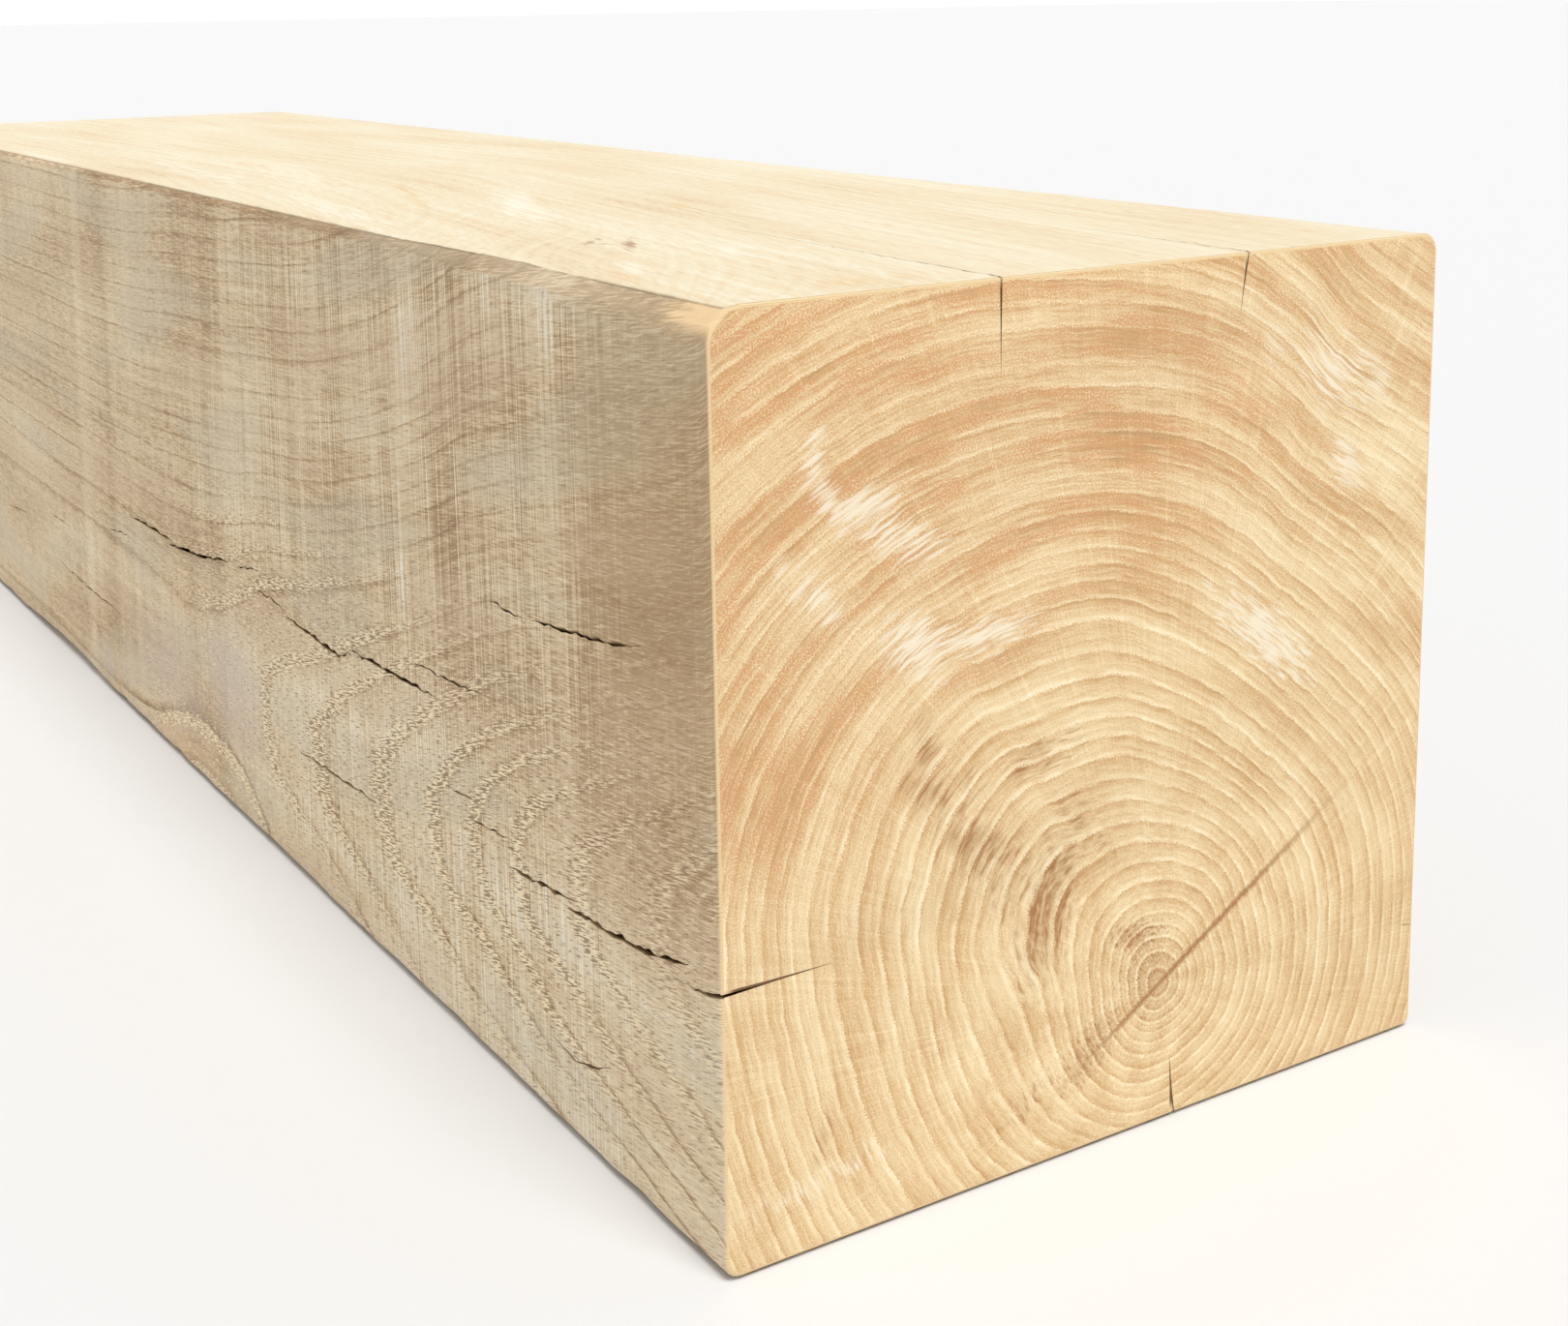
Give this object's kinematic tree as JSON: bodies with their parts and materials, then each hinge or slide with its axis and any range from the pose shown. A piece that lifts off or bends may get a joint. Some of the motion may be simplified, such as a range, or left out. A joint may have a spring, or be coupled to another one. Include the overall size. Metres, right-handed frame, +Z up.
{
  "type": "oak beam",
  "caption": "Square-sawn solid oak beam with boxed heart, eased and waney arrises, and open seasoning checks along its faces and ends.",
  "frame": {"origin": "middle of the face that the beam lies on", "axes": "+X along the beam towards the near end, +Y towards the back face, +Z up"},
  "size_m": [0.8, 0.2, 0.2],
  "materials": {
    "sawn_oak": "air-dried sawn oak, rough along the long faces and cut clean across the end grain"
  },
  "bodies": {
    "root": {"beam": "sawn_oak"}
  },
  "joints": []
}
